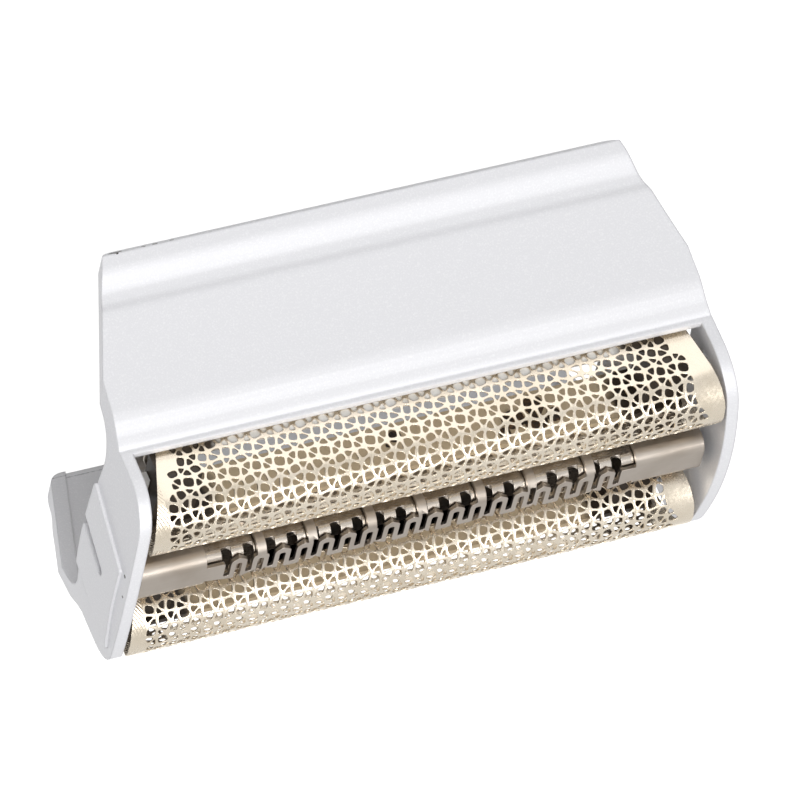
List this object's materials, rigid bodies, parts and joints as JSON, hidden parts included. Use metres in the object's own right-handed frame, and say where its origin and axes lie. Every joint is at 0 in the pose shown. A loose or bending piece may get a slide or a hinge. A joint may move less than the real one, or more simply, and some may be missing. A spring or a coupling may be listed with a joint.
{
  "type": "shaver foil head",
  "caption": "Shaver foil head: silver frame with leaning aprons and bowed cheeks, sprung perforated foils and a slotted trimmer between them.",
  "frame": {"origin": "middle of the base, on the plane of the aprons' lower edges", "axes": "+X along the foils towards the picture's left end, -Y to the front apron, +Z out of the foils"},
  "size_m": [0.0432, 0.0274, 0.0184],
  "materials": {
    "silver_paint": "satin metallic paint",
    "nickel_foil": "satin nickel",
    "comb_steel": "ground",
    "blade_steel": "polished",
    "grey_plastic": "moulded",
    "dark_plastic": "moulded",
    "spring_steel": "drawn wire"
  },
  "bodies": {
    "frame": {"housing_frame": "silver_paint", "left_end_bridge": "grey_plastic", "right_end_bridge": "grey_plastic", "front_spring_left": "spring_steel", "front_spring_right": "spring_steel", "rear_spring_left": "spring_steel", "rear_spring_right": "spring_steel", "trimmer_spring_left": "spring_steel", "trimmer_spring_right": "spring_steel"},
    "front_cartridge": {"front_foil": "nickel_foil", "front_foil_holder": "grey_plastic"},
    "rear_cartridge": {"rear_foil": "nickel_foil", "rear_foil_holder": "grey_plastic"},
    "trimmer": {"trimmer_comb": "comb_steel", "trimmer_carrier": "dark_plastic"},
    "blade": {"trimmer_blade": "blade_steel", "blade_driver": "dark_plastic", "driver_rivets": "blade_steel"}
  },
  "joints": [
    {"name": "front_float", "type": "slide", "parent": "frame", "child": "front_cartridge", "axis": [0, 0, -1], "range_m": [0, 0.001], "stiffness_N_per_m": 150, "springref_m": -0.001, "deforming": ["front_spring_left", "front_spring_right"]},
    {"name": "rear_float", "type": "slide", "parent": "frame", "child": "rear_cartridge", "axis": [0, 0, -1], "range_m": [0, 0.001], "stiffness_N_per_m": 150, "springref_m": -0.001, "deforming": ["rear_spring_left", "rear_spring_right"]},
    {"name": "trimmer_float", "type": "slide", "parent": "frame", "child": "trimmer", "axis": [0, 0, -1], "range_m": [0, 0.001], "stiffness_N_per_m": 150, "springref_m": -0.001, "deforming": ["trimmer_spring_left", "trimmer_spring_right"]},
    {"name": "blade_slide", "type": "slide", "parent": "trimmer", "child": "blade", "axis": [1, 0, 0], "range_m": [-0.001, 0.001]}
  ]
}
